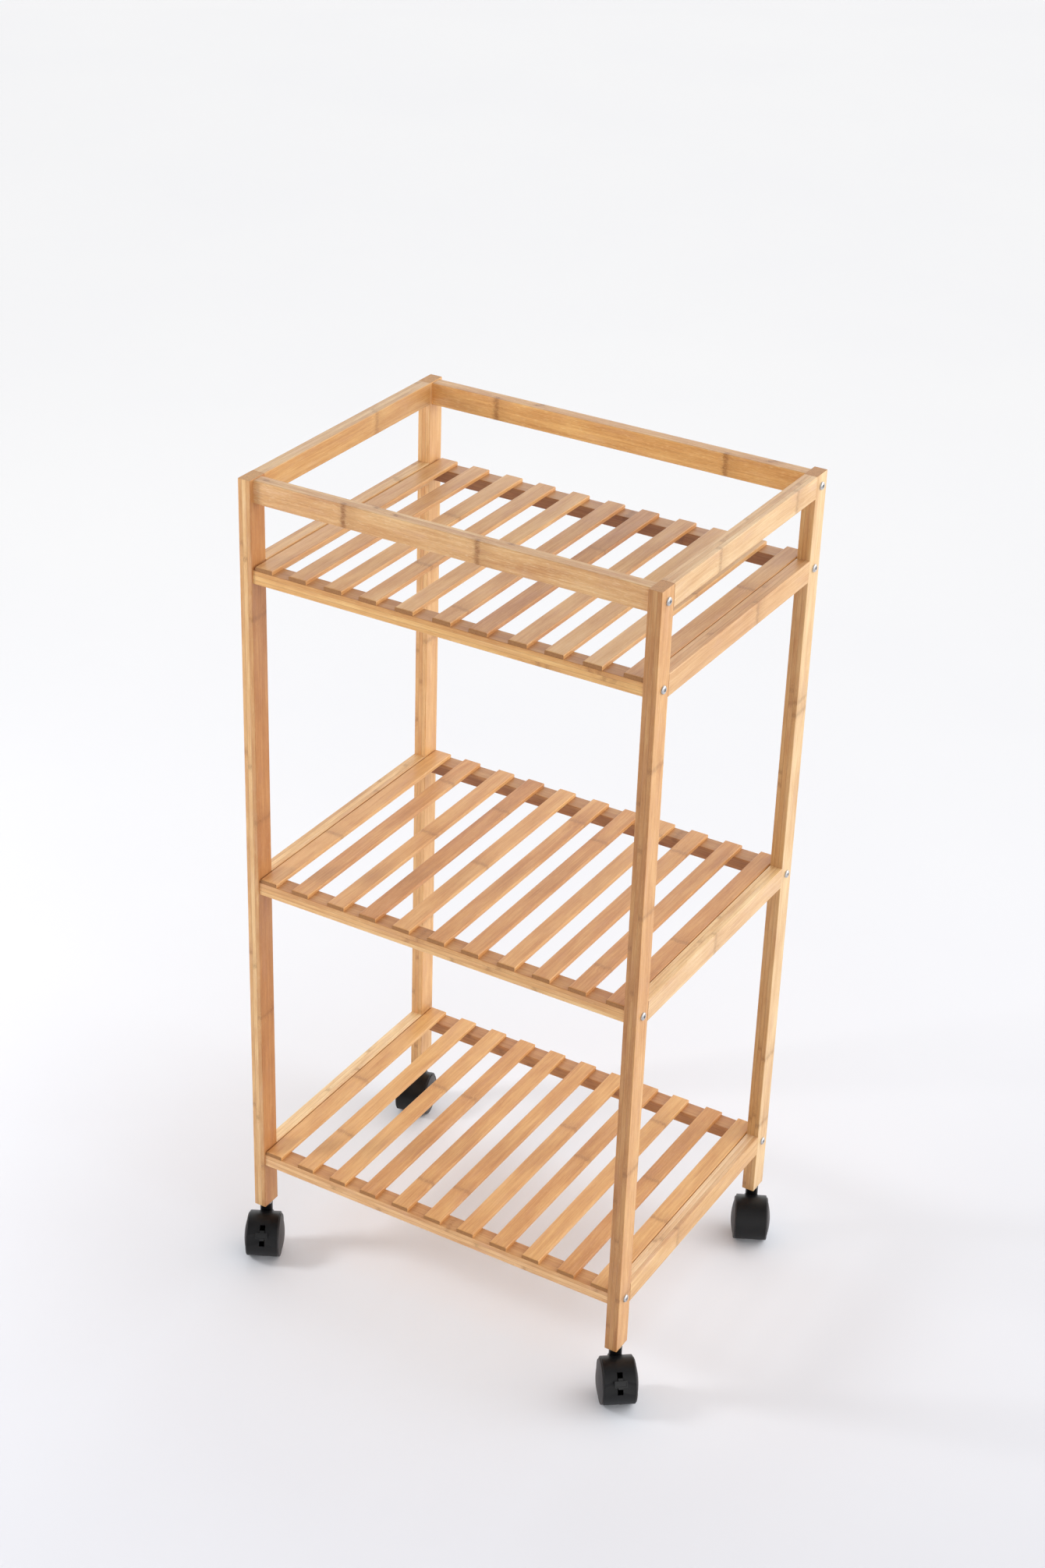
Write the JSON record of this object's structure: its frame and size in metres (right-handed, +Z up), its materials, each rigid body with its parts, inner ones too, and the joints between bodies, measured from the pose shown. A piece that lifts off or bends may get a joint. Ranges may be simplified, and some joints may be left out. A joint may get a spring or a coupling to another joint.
{
  "type": "three-tier rolling plant stand",
  "caption": "Tall open bamboo trolley with slatted shelves and a guard rail round the top, on hooded twin-wheel swivel casters, some with a brake tab.",
  "frame": {"origin": "on the floor, at the middle of the footprint of the frame and casters as they stand; the bamboo frame's own middle is at x = -10.5 mm, y = 18 mm, because all four casters trail towards the front", "axes": "+Z up; +X along the long side, towards the right when the front is seen; the front, where the hoods of the casters face, is -Y"},
  "size_m": [0.5273, 0.3979, 0.967],
  "materials": {
    "bamboo_post": "satin varnish",
    "bamboo_rail": "satin varnish",
    "bamboo_slat": "satin varnish",
    "screw_steel": "polished",
    "pin_steel": "plain",
    "caster_hood": "satin",
    "caster_wheel": "satin",
    "caster_lever": "satin"
  },
  "bodies": {
    "trolley_frame": {"post_front_left": "bamboo_post", "post_front_right": "bamboo_post", "post_back_left": "bamboo_post", "post_back_right": "bamboo_post", "top_rail_front": "bamboo_rail", "top_rail_back": "bamboo_rail", "top_rail_left": "bamboo_rail", "top_rail_right": "bamboo_rail", "shelf_low_batten_front": "bamboo_rail", "shelf_low_batten_back": "bamboo_rail", "shelf_low_rail_left": "bamboo_rail", "shelf_low_rail_right": "bamboo_rail", "shelf_low_slats": "bamboo_slat", "shelf_mid_batten_front": "bamboo_rail", "shelf_mid_batten_back": "bamboo_rail", "shelf_mid_rail_left": "bamboo_rail", "shelf_mid_rail_right": "bamboo_rail", "shelf_mid_slats": "bamboo_slat", "shelf_top_batten_front": "bamboo_rail", "shelf_top_batten_back": "bamboo_rail", "shelf_top_rail_left": "bamboo_rail", "shelf_top_rail_right": "bamboo_rail", "shelf_top_slats": "bamboo_slat", "screws_front_left": "screw_steel", "screws_front_right": "screw_steel", "screws_back_left": "screw_steel", "screws_back_right": "screw_steel", "caster_front_left_stem": "pin_steel", "caster_front_right_stem": "pin_steel", "caster_back_right_stem": "pin_steel", "caster_back_left_stem": "pin_steel"},
    "caster_front_left_swivel": {"caster_front_left_housing": "caster_hood", "caster_front_left_axle": "pin_steel"},
    "caster_front_left_roller_a": {"caster_front_left_wheel_a": "caster_wheel"},
    "caster_front_left_roller_b": {"caster_front_left_wheel_b": "caster_wheel"},
    "caster_front_left_brake": {"caster_front_left_brake_lever": "caster_lever"},
    "caster_front_right_swivel": {"caster_front_right_housing": "caster_hood", "caster_front_right_axle": "pin_steel"},
    "caster_front_right_roller_a": {"caster_front_right_wheel_a": "caster_wheel"},
    "caster_front_right_roller_b": {"caster_front_right_wheel_b": "caster_wheel"},
    "caster_front_right_brake": {"caster_front_right_brake_lever": "caster_lever"},
    "caster_back_right_swivel": {"caster_back_right_housing": "caster_hood", "caster_back_right_axle": "pin_steel"},
    "caster_back_right_roller_a": {"caster_back_right_wheel_a": "caster_wheel"},
    "caster_back_right_roller_b": {"caster_back_right_wheel_b": "caster_wheel"},
    "caster_back_left_swivel": {"caster_back_left_housing": "caster_hood", "caster_back_left_axle": "pin_steel"},
    "caster_back_left_roller_a": {"caster_back_left_wheel_a": "caster_wheel"},
    "caster_back_left_roller_b": {"caster_back_left_wheel_b": "caster_wheel"}
  },
  "joints": [
    {"name": "caster_front_left_swivel_turn", "type": "hinge", "parent": "trolley_frame", "child": "caster_front_left_swivel", "pos_m": [-0.243, -0.1495, 0.055], "axis": [0, 0, 1], "continuous": true},
    {"name": "caster_front_left_wheel_a_spin", "type": "hinge", "parent": "caster_front_left_swivel", "child": "caster_front_left_roller_a", "pos_m": [-0.23361, -0.16716, 0.025], "axis": [0.8829, 0.4695, 0], "continuous": true},
    {"name": "caster_front_left_wheel_b_spin", "type": "hinge", "parent": "caster_front_left_swivel", "child": "caster_front_left_roller_b", "pos_m": [-0.23361, -0.16716, 0.025], "axis": [0.8829, 0.4695, 0], "continuous": true},
    {"name": "caster_front_left_brake_press", "type": "hinge", "parent": "caster_front_left_swivel", "child": "caster_front_left_brake", "pos_m": [-0.23361, -0.16716, 0.025], "axis": [0.8829, 0.4695, 0], "range_deg": [-20, 20]},
    {"name": "caster_front_right_swivel_turn", "type": "hinge", "parent": "trolley_frame", "child": "caster_front_right_swivel", "pos_m": [0.222, -0.1495, 0.055], "axis": [0, 0, 1], "continuous": true},
    {"name": "caster_front_right_wheel_a_spin", "type": "hinge", "parent": "caster_front_right_swivel", "child": "caster_front_right_roller_a", "pos_m": [0.23404, -0.16547, 0.025], "axis": [0.7986, 0.6018, 0], "continuous": true},
    {"name": "caster_front_right_wheel_b_spin", "type": "hinge", "parent": "caster_front_right_swivel", "child": "caster_front_right_roller_b", "pos_m": [0.23404, -0.16547, 0.025], "axis": [0.7986, 0.6018, 0], "continuous": true},
    {"name": "caster_front_right_brake_press", "type": "hinge", "parent": "caster_front_right_swivel", "child": "caster_front_right_brake", "pos_m": [0.23404, -0.16547, 0.025], "axis": [0.7986, 0.6018, 0], "range_deg": [-20, 20]},
    {"name": "caster_back_right_swivel_turn", "type": "hinge", "parent": "trolley_frame", "child": "caster_back_right_swivel", "pos_m": [0.222, 0.1855, 0.055], "axis": [0, 0, 1], "continuous": true},
    {"name": "caster_back_right_wheel_a_spin", "type": "hinge", "parent": "caster_back_right_swivel", "child": "caster_back_right_roller_a", "pos_m": [0.23108, 0.16768, 0.025], "axis": [0.891, 0.454, 0], "continuous": true},
    {"name": "caster_back_right_wheel_b_spin", "type": "hinge", "parent": "caster_back_right_swivel", "child": "caster_back_right_roller_b", "pos_m": [0.23108, 0.16768, 0.025], "axis": [0.891, 0.454, 0], "continuous": true},
    {"name": "caster_back_left_swivel_turn", "type": "hinge", "parent": "trolley_frame", "child": "caster_back_left_swivel", "pos_m": [-0.243, 0.1855, 0.055], "axis": [0, 0, 1], "continuous": true},
    {"name": "caster_back_left_wheel_a_spin", "type": "hinge", "parent": "caster_back_left_swivel", "child": "caster_back_left_roller_a", "pos_m": [-0.23782, 0.16618, 0.025], "axis": [0.9659, 0.2588, 0], "continuous": true},
    {"name": "caster_back_left_wheel_b_spin", "type": "hinge", "parent": "caster_back_left_swivel", "child": "caster_back_left_roller_b", "pos_m": [-0.23782, 0.16618, 0.025], "axis": [0.9659, 0.2588, 0], "continuous": true}
  ]
}
